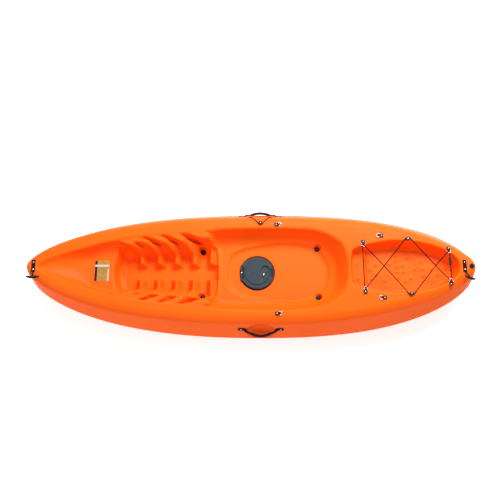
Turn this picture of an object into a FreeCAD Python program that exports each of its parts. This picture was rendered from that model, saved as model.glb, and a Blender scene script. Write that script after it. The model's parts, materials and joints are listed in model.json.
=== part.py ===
"""Single-seat sit-on-top kayak, as separate pieces, in millimetres.

The origin is on the flat of the keel, at mid length. +X points to the stern, +Y to starboard and +Z up.
"""

import FreeCAD, Part
import math
import os

from FreeCAD import Vector

# Hull
LENGTH = 2670.0
BEAM = 784.0
WALL = 4.0
WIDEST_X = 58.0
BOW_REACH = 1398.0
STERN_REACH = 1292.5
BOW_PLAN_POWER = 2.265
STERN_PLAN_POWER = 2.455
PLAN_ROUNDING = 0.547
SHOULDER_RATIO = 0.82
BOW_SHOULDER_DROP = 0.12
STERN_SHOULDER_DROP = 0.30
DECK_CROWN = 6.0
KEEL_DIP = 6.0
ROCKER_START = 620.0
ROCKER_POWER = 2.5
BOW_KEEL_RISE = 165.0
STERN_KEEL_RISE = 165.0
PARTING_Z = 106.0
BOW_PARTING_RISE = 85.0
STERN_PARTING_RISE = 115.0
DECK_Z = 262.0
BOW_DECK_RISE = 48.0
STERN_DECK_RISE = 46.0
STERN_RISE_FROM = 250.0
STERN_RISE_OVER = 650.0
BILGE_STEPS = 7

# Wells in the deck
ABOVE_DECK = 420.0
DISH_FLOOR_Z = 205.0
FOOTWELL_FLOOR_Z = 122.0
SEAT_STRIP_Z = 165.0
SEAT_FLOOR_Z = 150.0
TANK_FLOOR_Z = 215.0
WELL_RIM_Z = 262.0
STERN_RIM_Z = 308.0
DISH_RIM_Z = 296.0

# Foot-rest ribs
RIB_COUNT = 5
RIB_PITCH = 107.5
FIRST_RIB_X = -670.0
RIB_INNER_Y = 50.0
RIB_BEND_Y = 104.0
LAST_RIB_BEND_Y = 135.0
FIRST_TIP_Y = 170.0
LAST_TIP_Y = 222.0
RIB_SWEEP = 162.0
RIB_CREST = 12.0
RIB_SHELF = 70.0
LAST_RIB_SHELF = 150.0
RIB_BOW_SLOPE = 2.1
RIB_STERN_SLOPE = 1.75
SWEPT_BOW_SLOPE = 6.0
SWEPT_STERN_SLOPE = 0.8
TIP_STERN_SLOPE = 2.0
RIB_LOW_Z = 176.0
RIB_BEND_Z = 184.0
RIB_MIDDLE_Z = 240.0
RIB_HIGH_Z = 270.0
BEYOND_TIP = 24.0

# Hatch
HATCH_X = 38.0
HATCH_RECESS_R = 108.5
HATCH_RECESS_Z = 138.0
HATCH_HOLE_R = 86.0
RIM_FLANGE_R = 106.0
RIM_NECK_R = 84.5
RIM_BORE_R = 79.0
RIM_FLANGE_T = 4.0
RIM_BOTTOM_Z = 118.0
RIM_TOP_Z = 148.0
LID_R = 100.5
LID_SKIRT_T = 4.5
LID_UNDER_Z = 150.0
LID_TOP_Z = 162.0
LID_DISC_R = 78.0
LID_DISC_Z = 167.0
GASKET_IN_R = 86.0
GASKET_OUT_R = 91.0
GASKET_T = 4.0
HINGE_X = -57.0
HINGE_Z = 158.0
HINGE_PIN_R = 2.5
HINGE_GAP = 0.05
BRACKET_HALF_Y = 38.0
LUG_HALF_Y = 52.0
KNUCKLE_R = 6.0
KNOB_X = 86.0
KNOB_DISH = (29.0, 45.0)
KNOB_DISH_DEPTH = 9.0
KNOB_SHAFT_R = 6.0
TAB_X = 132.0

# Scuppers
SCUPPERS = (("fore", -297.0, 144.0, FOOTWELL_FLOOR_Z), ("aft", 409.0, 154.0, SEAT_FLOOR_Z))
SCUPPER_R = 13.0
SCUPPER_RECESS_R = 23.0
SCUPPER_RECESS_DEPTH = 7.0
PLUG_FLANGE_R = 15.0

# Deck fittings
PAD_WIDTH = 22.0
PAD_T = 4.0
RING_R = 11.0
RING_WIRE_R = 1.6
RING_GAP = 0.05
SCREW_HEAD_R = 4.5
SCREW_SHANK_R = 2.5
SCREW_LENGTH = 14.0
BUTTON_R = 12.0
CORD_R = 2.5
PAD_PLACES = (
    ("cockpit", 160.0, 277.0, 0.0),
    ("seat_back", 776.0, 191.0, 180.0),
    ("bungee_fore", 673.0, 148.0, 90.0),
    ("bungee_aft", 1178.0, 103.0, 90.0),
)
BUTTON_X = 940.0
BUTTON_Y = 169.0

# Carry handles and toggles
HANDLE_X = 58.0
HANDLE_SPAN = 236.0
HANDLE_Z = 186.0
GRIP_LENGTH = 112.0
GRIP_R = 8.0
GRIP_Y = 391.0
GRIP_Z = 150.0
WEBBING_WIDTH = 24.0
WEBBING_T = 3.0
WEBBING_AXIS_OUT = 5.0
TOGGLE_GRIP_LENGTH = 84.0
TOGGLE_GRIP_R = 8.0
STERN_GRIP_LENGTH = 68.0
STERN_GRIP_TURN = -20.0
TOGGLE_AXIS_Y = 41.5
TOGGLE_AXIS_UP = 4.0
BOW_TOGGLE_X = -1290.0
STERN_TOGGLE_X = 1266.0
DRAIN_X = 1308.0
DRAIN_HOLE_R = 10.2
DRAIN_FLANGE_R = 15.0
DRAIN_FLANGE_T = 3.0
DRAIN_SLEEVE_DEPTH = 12.0
DRAIN_BORE_R = 7.05
DRAIN_STEM_R = 7.0
DRAIN_STEM_DEPTH = 9.0
DRAIN_WASHER_R = 10.0
DRAIN_WASHER_T = 1.5
DRAIN_CAP_R = 12.0
DRAIN_CAP_T = 4.0
DRAIN_WING = (5.0, 22.0, 8.0)
FINGER_POCKET_AT = (HANDLE_X, 394.0, 178.0)
FINGER_POCKET_REACH = (94.0, 74.0, 69.0)
PARK_BUTTON_Y = 287.0
PARK_CORD_LOW_Z = 206.0
PARK_CORD_FOOT_X = 88.0
PARK_CORD_EDGE = (44.0, 326.0)
PARK_CORD_R = 2.0


def save(name, *solids):
    """Write the solids of one node."""
    shape = solids[0] if len(solids) == 1 else Part.makeCompound(list(solids))
    shape.exportStep("parts/" + name + ".step")


def cylinder(radius, height, at, along=(0, 0, 1)):
    return Part.makeCylinder(radius, height, Vector(*at), Vector(*along))


def box(low, high):
    size = [b - a for a, b in zip(low, high)]
    return Part.makeBox(size[0], size[1], size[2], Vector(*low))


def smooth(t):
    """0 before 0, 1 after 1, and a soft rise between."""
    t = min(max(t, 0.0), 1.0)
    return t * t * (3.0 - 2.0 * t)


# Hull form


def half_beam(x):
    """Half the breadth at the parting line, the widest height of the hull."""
    reach = BOW_REACH if x < WIDEST_X else STERN_REACH
    power = BOW_PLAN_POWER if x < WIDEST_X else STERN_PLAN_POWER
    u = min(abs(x - WIDEST_X) / reach, 1.0)
    return BEAM / 2.0 * (1.0 - u**power) ** PLAN_ROUNDING


def shoulder_share(x):
    """The deck's breadth as a share of the beam: it narrows towards both ends."""
    drop = BOW_SHOULDER_DROP if x < 0.0 else STERN_SHOULDER_DROP
    return SHOULDER_RATIO - drop * (2.0 * x / LENGTH) ** 4


def keel_z(x):
    rise = BOW_KEEL_RISE if x < 0.0 else STERN_KEEL_RISE
    s = max(abs(x) - ROCKER_START, 0.0) / (LENGTH / 2.0 - ROCKER_START)
    return -KEEL_DIP + rise * s**ROCKER_POWER


def parting_z(x):
    rise = BOW_PARTING_RISE if x < 0.0 else STERN_PARTING_RISE
    return PARTING_Z + rise * (2.0 * abs(x) / LENGTH) ** 2.2


def shoulder_z(x):
    if x < 0.0:
        return DECK_Z + BOW_DECK_RISE * (2.0 * x / LENGTH) ** 2
    return DECK_Z + STERN_DECK_RISE * smooth((x - STERN_RISE_FROM) / STERN_RISE_OVER)


def side_y(x, z):
    """Half the breadth of the topside at a height above the parting line."""
    low, high = parting_z(x), shoulder_z(x)
    v = (z - low) / (high - low)
    return half_beam(x) * (1.0 - (1.0 - shoulder_share(x)) * v)


def hull_section(x, inset):
    """The closed outline of the hull at one station, drawn in by inset."""
    beam = half_beam(x) - inset
    shoulder = half_beam(x) * shoulder_share(x) - inset
    keel, parting, deck = keel_z(x) + inset, parting_z(x), shoulder_z(x) - inset
    bottom = []
    for i in range(-BILGE_STEPS, BILGE_STEPS + 1):
        angle = math.pi / 2.0 * i / BILGE_STEPS
        y = beam * math.copysign(abs(math.sin(angle)) ** (2.0 / 2.2), angle)
        z = parting - (parting - keel) * math.cos(angle) ** (2.0 / 3.0)
        bottom.append(Vector(x, y, z))
    curve = Part.BSplineCurve()
    curve.interpolate(bottom)
    right, left = Vector(x, shoulder, deck), Vector(x, -shoulder, deck)
    crown = Part.Arc(right, Vector(x, 0, deck + DECK_CROWN), left)
    sides = [Part.makeLine(bottom[-1], right), Part.makeLine(left, bottom[0])]
    return Part.Wire([curve.toShape(), sides[0], crown.toShape(), sides[1]])


def hull_solid(inset):
    """The hull before its wells: stations closer together towards the ends."""
    end = LENGTH / 2.0 - inset
    count = 16
    stations = [-end * math.cos(math.pi * i / count) for i in range(count + 1)]
    body = Part.makeLoft([hull_section(x, inset) for x in stations], True, False)
    flat = box((-LENGTH, -BEAM, -100.0), (LENGTH, BEAM, inset))
    return body.cut(flat)


def outline(points, grow, z):
    """A smooth closed wire through points on one side of the centreline and their mirror images."""
    ring = points + [(x, -y) for x, y in reversed(points) if y > 0.0]
    moved = []
    for i, (x, y) in enumerate(ring):
        before, after = ring[i - 1], ring[(i + 1) % len(ring)]
        dx, dy = after[0] - before[0], after[1] - before[1]
        size = math.hypot(dx, dy)
        moved.append(Vector(x - dy / size * grow, y + dx / size * grow, z))
    curve = Part.BSplineCurve()
    curve.interpolate(moved, PeriodicFlag=True)
    return Part.Wire([curve.toShape()])


def well(rim, floor, rim_z, floor_z, grow):
    """A drafted well between its outline at the deck and the smaller one at its floor."""
    slope = [(a[0] - b[0], a[1] - b[1]) for a, b in zip(rim, floor)]
    share = (ABOVE_DECK - rim_z) / (rim_z - floor_z)
    top = [(a[0] + s[0] * share, a[1] + s[1] * share) for a, s in zip(rim, slope)]
    wires = [outline(floor, grow, floor_z - grow), outline(top, grow, ABOVE_DECK)]
    return Part.makeLoft(wires, True, True)


# Each well runs from the bow to the stern along its starboard side: (x, y) at the deck, then at the floor.
DISH = (
    [(-1262, 0), (-1235, 30), (-1150, 70), (-1028, 111), (-930, 145),
     (-850, 166), (-800, 160), (-780, 90), (-775, 0)],
    [(-1150, 0), (-1130, 20), (-1085, 45), (-1000, 75), (-930, 100),
     (-860, 118), (-815, 116), (-795, 66), (-790, 0)],
)
FOOTWELL = (
    [(-852, 0), (-845, 90), (-826, 152), (-760, 178), (-606, 200),
     (-440, 218), (-300, 232), (-218, 222), (-200, 130), (-196, 0)],
    [(-812, 0), (-798, 56), (-772, 102), (-730, 142), (-606, 165),
     (-440, 180), (-300, 190), (-234, 180), (-206, 110), (-202, 0)],
)
SEAT = (
    [(-232, 0), (-234, 110), (-252, 208), (-200, 244), (54, 253),
     (300, 250), (430, 226), (530, 160), (568, 92), (580, 0)],
    [(-206, 0), (-208, 100), (-214, 172), (-165, 204), (54, 214),
     (280, 208), (390, 184), (460, 132), (500, 74), (508, 0)],
)
BOWL = (
    [(-150, 0), (-146, 60), (-118, 120), (-40, 156), (60, 176),
     (200, 190), (330, 180), (420, 140), (470, 70), (480, 0)],
    [(-110, 0), (-106, 50), (-84, 100), (-20, 134), (60, 156),
     (200, 172), (320, 162), (400, 124), (446, 60), (454, 0)],
)
TANK = (
    [(612, 0), (616, 80), (632, 122), (740, 148), (865, 160),
     (1000, 150), (1110, 124), (1190, 84), (1228, 42), (1240, 0)],
    [(632, 0), (636, 68), (650, 104), (745, 128), (865, 140),
     (1000, 130), (1100, 106), (1170, 70), (1204, 34), (1214, 0)],
)


def rib(index, side, grow):
    """A foot-rest rib: low and square across inboard, then swept forward and widening to a shelf at its tip."""
    x = FIRST_RIB_X + RIB_PITCH * index
    last = index == RIB_COUNT - 1
    tip = FIRST_TIP_Y + (LAST_TIP_Y - FIRST_TIP_Y) * index / (RIB_COUNT - 1)
    bend = LAST_RIB_BEND_Y if last else RIB_BEND_Y
    shelf = LAST_RIB_SHELF if last else RIB_SHELF
    swept = SWEPT_BOW_SLOPE, SWEPT_STERN_SLOPE
    ended = SWEPT_BOW_SLOPE, TIP_STERN_SLOPE
    places = (
        (RIB_INNER_Y - grow, 0.0, 0.0, RIB_LOW_Z, RIB_BOW_SLOPE, RIB_STERN_SLOPE),
        (bend, 0.0, 0.0, RIB_BEND_Z, RIB_BOW_SLOPE, RIB_STERN_SLOPE),
        (0.4 * bend + 0.6 * tip, 0.43 * RIB_SWEEP, 0.2 * shelf, RIB_MIDDLE_Z, *swept),
        (tip, RIB_SWEEP, shelf, RIB_HIGH_Z, *ended),
        (tip + BEYOND_TIP, 1.5 * RIB_SWEEP, 2.0 * shelf, RIB_HIGH_Z, *ended),
    )
    low = FOOTWELL_FLOOR_Z - 2.0 * WALL
    sections = []
    for y, sweep, extra, top, bow_slope, stern_slope in places:
        high = top + grow
        bow, stern = -RIB_CREST / 2.0 - grow, RIB_CREST / 2.0 + extra + grow
        foot = (bow - (high - low) / bow_slope, stern + (high - low) / stern_slope)
        shape = [(foot[0], low), (bow, high), (stern, high), (foot[1], low), (foot[0], low)]
        sections.append(Part.makePolygon([Vector(x - sweep + dx, side * y, z) for dx, z in shape]))
    return Part.makeLoft(sections, True, True)


def hatch_recess(grow):
    return cylinder(HATCH_RECESS_R + grow, ABOVE_DECK, (HATCH_X, 0, HATCH_RECESS_Z - grow))


def finger_pocket(side, grow):
    """The hollow in the topside behind a carry handle's grip."""
    stretch = FreeCAD.Matrix()
    stretch.scale(Vector(*[reach + grow for reach in FINGER_POCKET_REACH]))
    pocket = Part.makeSphere(1.0).transformGeometry(stretch)
    x, y, z = FINGER_POCKET_AT
    pocket.translate(Vector(x, side * y, z))
    return pocket


def scupper_recess(x, y, floor, grow):
    """The round seat of a plug, kept open above so that the plug lifts straight out."""
    depth = SCUPPER_RECESS_DEPTH + grow
    return cylinder(SCUPPER_RECESS_R + grow, ABOVE_DECK - floor, (x, y, floor - depth))


def wells(grow):
    """Everything that is open above the deck moulding, widened by grow."""
    footwell = well(*FOOTWELL, WELL_RIM_Z, FOOTWELL_FLOOR_Z, grow)
    for side in (-1, 1):
        for index in range(RIB_COUNT):
            footwell = footwell.cut(rib(index, side, -grow))
    found = [
        footwell,
        well(*DISH, DISH_RIM_Z, DISH_FLOOR_Z, grow),
        well(*SEAT, WELL_RIM_Z, SEAT_STRIP_Z, grow),
        well(*BOWL, SEAT_STRIP_Z, SEAT_FLOOR_Z, grow),
        well(*TANK, STERN_RIM_Z, TANK_FLOOR_Z, grow),
        hatch_recess(grow),
    ]
    for _, x, y, floor in SCUPPERS:
        found += [scupper_recess(x, side * y, floor, grow) for side in (-1, 1)]
    found += [finger_pocket(side, grow) for side in (-1, 1)]
    return found


def make_hull():
    """The rotationally moulded hull: one hollow skin with its wells, scuppers and hatch way."""
    outer = hull_solid(0.0)
    for tool in wells(0.0):
        outer = outer.cut(tool)
    inner = hull_solid(WALL)
    for tool in wells(WALL):
        inner = inner.cut(tool)
    for _, x, y, floor in SCUPPERS:
        for side in (-1, 1):
            inner = inner.cut(cylinder(SCUPPER_R + WALL, 400.0, (x, side * y, -50.0)))
    hull = outer.cut(inner)
    for _, x, y, floor in SCUPPERS:
        for side in (-1, 1):
            hull = hull.cut(cylinder(SCUPPER_R, 400.0, (x, side * y, -50.0)))
    hull = hull.cut(cylinder(HATCH_HOLE_R, 40.0, (HATCH_X, 0, HATCH_RECESS_Z - 20.0)))
    return hull.cut(cylinder(DRAIN_HOLE_R, 100.0, (DRAIN_X, 0, DECK_Z)))


def deck_z(x, y):
    """Height of the crowned deck."""
    half = half_beam(x) * shoulder_share(x)
    return shoulder_z(x) + DECK_CROWN * max(0.0, 1.0 - (y / half) ** 2)


def side_frame(x, side, z):
    """A point of the topside with its outward direction."""
    y = side_y(x, z)
    lean = (side_y(x, z - 10.0) - side_y(x, z + 10.0)) / 20.0
    size = math.hypot(1.0, lean)
    return Vector(x, side * y, z), Vector(0, side / size, lean / size)


def turned(shape, angle, at):
    """A shape built about the origin, turned about +Z and carried to its place."""
    shape = shape.copy()
    shape.rotate(Vector(0, 0, 0), Vector(0, 0, 1), angle)
    shape.translate(Vector(*at))
    return shape


def screw(at, along=Vector(0, 0, 1)):
    """A domed screw: its head stands on at and its shank points the other way."""
    head = cylinder(SCREW_HEAD_R, 1.2, (0, 0, 0))
    dome = Part.makeSphere(7.0, Vector(0, 0, 1.2 - math.sqrt(49.0 - SCREW_HEAD_R**2)))
    dome = dome.common(cylinder(SCREW_HEAD_R, 8.0, (0, 0, 1.2)))
    socket = cylinder(1.6, 4.0, (0, 0, 1.4))
    shank = cylinder(SCREW_SHANK_R, SCREW_LENGTH, (0, 0, -SCREW_LENGTH))
    whole = head.fuse([dome, shank]).removeSplitter().cut(socket)
    whole.Placement = FreeCAD.Placement(Vector(*at), FreeCAD.Rotation(Vector(0, 0, 1), along))
    return whole


def tube(points, radius, bend):
    """A cord along straight runs with a tangent arc of radius bend at each inner point."""
    points = [Vector(*p) for p in points]
    edges = []
    start = points[0]
    for before, corner, after in zip(points, points[1:], points[2:]):
        along = (corner - before).normalize()
        onward = (after - corner).normalize()
        half = along.getAngle(onward) / 2.0
        cut = bend * math.tan(half)
        middle = (onward - along).normalize()
        low, high = corner - along * cut, corner + onward * cut
        top = corner + middle * (bend / math.cos(half) - bend)
        edges.append(Part.makeLine(start, low))
        edges.append(Part.Arc(low, top, high).toShape())
        start = high
    edges.append(Part.makeLine(start, points[-1]))
    path = Part.Wire(edges)
    ring = Part.Wire([Part.makeCircle(radius, points[0], points[1] - points[0])])
    solid = path.makePipeShell([ring], True, True)
    expected = math.pi * radius**2 * path.Length
    print("cord: length %.0f, volume ratio %.3f, bend %.1f" % (path.Length, solid.Volume / expected, bend))
    return solid


# Hatch


def make_hatch():
    flange = cylinder(RIM_FLANGE_R, RIM_FLANGE_T, (HATCH_X, 0, HATCH_RECESS_Z))
    neck = cylinder(RIM_NECK_R, RIM_TOP_Z - RIM_BOTTOM_Z, (HATCH_X, 0, RIM_BOTTOM_Z))
    bracket_x = HATCH_X - GASKET_OUT_R - 0.3
    bracket_low = (HINGE_X - 6, -BRACKET_HALF_Y, HATCH_RECESS_Z + 1)
    bracket = box(bracket_low, (bracket_x, BRACKET_HALF_Y, HINGE_Z + 6))
    bracket = bracket.common(cylinder(HATCH_RECESS_R - 0.4, 60.0, (HATCH_X, 0, HATCH_RECESS_Z)))
    pin_way = cylinder(HINGE_PIN_R, 2 * LUG_HALF_Y, (HINGE_X, -LUG_HALF_Y, HINGE_Z), (0, 1, 0))
    bore = cylinder(RIM_BORE_R, 60.0, (HATCH_X, 0, RIM_BOTTOM_Z - 5))
    rim = flange.fuse([neck, bracket]).removeSplitter().cut(bore).cut(pin_way)
    flange_top = HATCH_RECESS_Z + RIM_FLANGE_T
    screws = []
    for i in range(8):
        angle = math.radians(22.5 + 45.0 * i)
        x, y = HATCH_X + 94.0 * math.cos(angle), 94.0 * math.sin(angle)
        shank = cylinder(1.6, 12.0, (x, y, flange_top - 12.0))
        screws.append(cylinder(2.7, 1.8, (x, y, flange_top)).fuse(shank))
        rim = rim.cut(cylinder(1.6, 20.0, (x, y, flange_top - 10.0)))
    bracket_screw = screw((HINGE_X, 0, HINGE_Z + 6))
    bracket_screw = bracket_screw.cut(cylinder(9.0, 30.0, (HINGE_X, 0, HINGE_Z - 27.0)))
    save("hatch_rim", rim)
    save("hatch_rim_screws", *screws)
    save("hatch_bracket_screw", bracket_screw)
    pin = cylinder(HINGE_PIN_R, 2 * LUG_HALF_Y - 4.0, (HINGE_X, 2.0 - LUG_HALF_Y, HINGE_Z), (0, 1, 0))
    save("hatch_hinge_pin", pin)
    save("hatch_gasket", tube_ring(GASKET_IN_R, GASKET_OUT_R, flange_top, flange_top + GASKET_T))
    make_lid(flange_top + GASKET_T)


def oval(half_x, half_y, height, at):
    ring = Part.Ellipse(Vector(0, 0, 0), half_y, half_x).toShape()
    solid = Part.Face(Part.Wire([ring])).extrude(Vector(0, 0, height))
    return turned(solid, 90.0, at)


def tube_ring(inside, outside, low, high):
    """A ring about the hatch's centre."""
    at = (HATCH_X, 0, low)
    return cylinder(outside, high - low, at).cut(cylinder(inside, high - low, at))


def make_lid(seal_z):
    disc = cylinder(LID_R, LID_TOP_Z - LID_UNDER_Z, (HATCH_X, 0, LID_UNDER_Z))
    rise = LID_DISC_Z - LID_TOP_Z
    raised = Part.makeCone(LID_DISC_R, LID_DISC_R - 3.0, rise, Vector(HATCH_X, 0, LID_TOP_Z))
    skirt = tube_ring(LID_R - LID_SKIRT_T, LID_R, LID_UNDER_Z - 3.0, LID_UNDER_Z)
    seal = tube_ring(GASKET_IN_R, GASKET_OUT_R, seal_z, LID_UNDER_Z)
    lid = disc.fuse([raised, skirt, seal])
    for side in (-1, 1):
        low, high = sorted((side * (BRACKET_HALF_Y + 0.3), side * (LUG_HALF_Y - 2.0)))
        knuckle = cylinder(KNUCKLE_R, high - low, (HINGE_X, low, HINGE_Z), (0, 1, 0))
        arm = box((HINGE_X, low, HINGE_Z - 4.0), (HINGE_X + 24.0, high, HINGE_Z + 3.0))
        lid = lid.fuse([knuckle, arm])
    lid = lid.removeSplitter()
    notch_y = BRACKET_HALF_Y + 0.3
    lid = lid.cut(box((HINGE_X - 20, -notch_y, 140), (HINGE_X + 12, notch_y, 180)))
    lid = lid.cut(cylinder(HINGE_PIN_R + HINGE_GAP, 120.0, (HINGE_X, -60.0, HINGE_Z), (0, 1, 0)))
    dish_z = LID_DISC_Z - KNOB_DISH_DEPTH
    lid = lid.cut(oval(*KNOB_DISH, 20.0, (KNOB_X, 0, dish_z)))
    lid = lid.cut(cylinder(KNOB_SHAFT_R + HINGE_GAP, 40.0, (KNOB_X, 0, 140)))
    lid = lid.cut(box((TAB_X - 14, -27.1, 155), (TAB_X + 30, 27.1, 180)))
    save("hatch_lid", lid)
    lever = box((-8, -26, 0), (8, 26, 7))
    lever = lever.common(cylinder(26.0, 7.0, (0, 0, 0)))
    shaft = cylinder(KNOB_SHAFT_R, 16.0, (0, 0, -14.0))
    cam = box((-24, -7, -14), (7, 7, -10))
    knob = lever.fuse([shaft, cam]).removeSplitter()
    save("hatch_knob", turned(knob, -35.0, (KNOB_X, 0, dish_z + 0.5)))
    tab = box((TAB_X - 6, -27, 155.05), (TAB_X + 6, 27, 161))
    save("hatch_latch_tab", tab.common(cylinder(LID_R, 60.0, (HATCH_X, 0, 120))))


# Pad eyes, rings, buttons and the cords they hold


def pad_eye():
    """A screwed plate with a barrel for the ring's bar; the ring lies towards +X."""
    base = box((-18, -PAD_WIDTH / 2, 0), (4, PAD_WIDTH / 2, PAD_T))
    nose = box((4, -7, 0), (8, 7, PAD_T))
    barrel = cylinder(4.4, 14.0, (8, -7, 4.6), (0, 1, 0))
    plate = base.fuse([nose, barrel]).removeSplitter()
    plate = plate.common(box((-30, -30, 0), (30, 30, 30)))
    bar_way = cylinder(RING_WIRE_R + RING_GAP, 40.0, (8, -20, 4.6), (0, 1, 0))
    return plate.cut(bar_way).cut(cylinder(SCREW_SHANK_R, 30.0, (-7, 0, -10)))


def ring():
    """A D-shaped wire ring hinged at x = 8."""
    z = 4.6
    bar = cylinder(RING_WIRE_R, 2 * RING_R, (8, -RING_R, z), (0, 1, 0))
    legs = [cylinder(RING_WIRE_R, 5.0, (8, side * RING_R, z), (1, 0, 0)) for side in (-1, 1)]
    corners = [Part.makeSphere(RING_WIRE_R, Vector(8, side * RING_R, z)) for side in (-1, 1)]
    bow = Part.makeTorus(RING_R, RING_WIRE_R, Vector(13, 0, z), Vector(0, 0, 1))
    bow = bow.common(box((13, -30, 0), (40, 30, 30)))
    return bar.fuse(legs + corners + [bow]).removeSplitter()


def pad_height(x, y, reach=18.0):
    """The height at which a flat fitting clears the crowned deck."""
    spots = [(x + dx, y + dy) for dx in (-reach, reach) for dy in (-reach, 0.0, reach)]
    return max(deck_z(px, abs(py)) for px, py in spots) + 0.3


def make_pad_eyes():
    screws = []
    for name, x, y, angle in PAD_PLACES:
        for label, side in (("port", -1), ("starboard", 1)):
            turn = -90.0 * side if angle == 90.0 else angle
            at = (x, side * y, pad_height(x, y))
            save("pad_eye_" + name + "_" + label, turned(pad_eye(), turn, at))
            save("ring_" + name + "_" + label, turned(ring(), turn, at))
            screws.append(turned(screw((-7, 0, PAD_T)), turn, at))
    save("pad_eye_screws", *screws)


def button():
    """A round cord button with a waist for the cord."""
    foot = cylinder(BUTTON_R - 2.0, 2.0, (0, 0, 0))
    waist = cylinder(6.0, 8.0, (0, 0, 0))
    cap = cylinder(BUTTON_R, 3.0, (0, 0, 8.0))
    return foot.fuse([waist, cap]).removeSplitter().cut(cylinder(SCREW_SHANK_R, 40.0, (0, 0, -10)))


def make_buttons():
    z = pad_height(BUTTON_X, BUTTON_Y, 10.0)
    places = [(BUTTON_X, -BUTTON_Y, z), (BUTTON_X, BUTTON_Y, z)]
    park = (HANDLE_X, PARK_BUTTON_Y, pad_height(HANDLE_X, PARK_BUTTON_Y, 10.0))
    save("bungee_button_port", turned(button(), 0.0, places[0]))
    save("bungee_button_starboard", turned(button(), 0.0, places[1]))
    save("paddle_button", turned(button(), 0.0, park))
    save("button_screws", *[screw((x, y, z + 11.0)) for x, y, z in places + [park]])


# The deck bungee's route, from the clip round both pairs of rings and both buttons, and back to the clip.
BUNGEE_ROUTE = (
    (1182, 29, 316.6), (1181, 85.6, 316.6), (1171, 85.6, 316.6), (1092, 0, 314), (948, -178.5, 316.3),
    (932, -178.5, 316.3), (789, 0, 315), (678, 130.6, 306.4), (668, 130.6, 306.4), (668, -130.6, 306.4),
    (678, -130.6, 306.4), (789, 0, 309), (932, 178.5, 316.3), (948, 178.5, 316.3), (1092, 0, 320),
    (1171, -85.6, 316.6), (1181, -85.6, 316.6), (1182, 27, 316.6),
)


def make_bungees():
    save("deck_bungee", tube(BUNGEE_ROUTE, CORD_R, 6.5))
    x, _, z = BUNGEE_ROUTE[0]
    bore = cylinder(CORD_R, 160.0, (x, -80, z), (0, 1, 0))
    save("bungee_clip", box((x - 7, 6, z - 5), (x + 7, 50, z + 5)).cut(bore))
    save("bungee_knot", Part.makeSphere(6.0, Vector(x, -28, z)).cut(bore))
    z = deck_z(HANDLE_X, 300.0) + 4.2
    edge_x, edge_y = PARK_CORD_EDGE
    foot_y = side_y(HANDLE_X + PARK_CORD_FOOT_X, PARK_CORD_LOW_Z) + PARK_CORD_R + 1.4
    half = [
        (PARK_CORD_FOOT_X, foot_y, PARK_CORD_LOW_Z),
        (edge_x, edge_y, z - 3.0),
        (8.0, PARK_BUTTON_Y - 8.5, z + 1.0),
    ]
    route = [(HANDLE_X - dx, y, h) for dx, y, h in half] + [(HANDLE_X + dx, y, h) for dx, y, h in half[::-1]]
    save("paddle_bungee", tube(route, PARK_CORD_R, 8.0))


# Carry handles


def make_handle(label, side):
    """One side handle: webbing screwed down at both ends, hanging through a tube grip."""
    pads, tails, screws = [], [], []
    for end in (-1, 1):
        x = HANDLE_X + end * HANDLE_SPAN / 2
        at, out = side_frame(x, side, HANDLE_Z)
        spin = FreeCAD.Rotation(Vector(1, 0, 0), out.cross(Vector(1, 0, 0)), out, "ZXY")
        pad = box((-16, -WEBBING_WIDTH / 2, 0), (16, WEBBING_WIDTH / 2, WEBBING_T))
        pad.Placement = FreeCAD.Placement(at + out * 0.8, spin)
        hole = cylinder(SCREW_SHANK_R, 40.0, at - out * 20.0, out)
        pads.append(pad.cut(hole))
        screws.append(screw(at + out * (0.8 + WEBBING_T), out))
        tails.append(handle_tail(x - end * 17.0, end, at + out * WEBBING_AXIS_OUT, out, side))
    grip = cylinder(GRIP_R, GRIP_LENGTH, (HANDLE_X - GRIP_LENGTH / 2, side * GRIP_Y, GRIP_Z), (1, 0, 0))
    grip = grip.makeFillet(3.0, [e for e in grip.Edges if e.Length > 40.0 and e.isClosed()])
    save("handle_pads_" + label, *pads)
    save("handle_webbing_" + label, *tails)
    save("handle_grip_" + label, grip)
    return screws


def handle_tail(x, end, at, out, side):
    """The loose webbing between a screwed pad and the end of the grip."""
    up = Vector(0, -out.z * side, abs(out.y))
    centre = Vector(x, at.y, at.z)
    wide = up * 3.5
    thick = out * (WEBBING_T / 2)
    near = [centre + wide + thick, centre - wide + thick, centre - wide - thick, centre + wide - thick]
    grip_x = HANDLE_X + end * GRIP_LENGTH / 2
    corners = ((-3, 5), (3, -5), (-1, -6), (-6, 3))
    far = [Vector(grip_x, side * (GRIP_Y + dy), GRIP_Z + dz) for dy, dz in corners]
    wires = [Part.makePolygon(loop + [loop[0]]) for loop in (near, far)]
    return Part.makeLoft(wires, True, True)


# End toggles, drain and plugs


def make_toggle(label, x, grip_at, grip_length, grip_turn):
    """An end toggle: a short strap screwed across the deck, a cord and a T-shaped grip."""
    z = pad_height(x, 0.0, 12.0)
    strap = box((x - 12, -37, z), (x + 12, 37, z + 3.5))
    screws = []
    for y in (-22.0, 22.0):
        strap = strap.cut(cylinder(SCREW_SHANK_R, 30.0, (x, y, z - 10)))
        screws.append(screw((x, y, z + 3.5)))
    grip = cylinder(TOGGLE_GRIP_R, grip_length, (-grip_length / 2, 0, 0), (1, 0, 0))
    grip = grip.makeFillet(3.5, [e for e in grip.Edges if e.Length > 40.0 and e.isClosed()])
    grip = turned(grip, grip_turn, grip_at)
    start = Vector(x, -TOGGLE_AXIS_Y, z + TOGGLE_AXIS_UP)
    finish = Vector(grip_at[0], grip_at[1] + TOGGLE_GRIP_R + 3.4, grip_at[2])
    cord = cylinder(3.0, (finish - start).Length, start, finish - start)
    save("toggle_strap_" + label, strap)
    save("toggle_cord_" + label, cord)
    save("toggle_grip_" + label, grip)
    return screws


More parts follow.
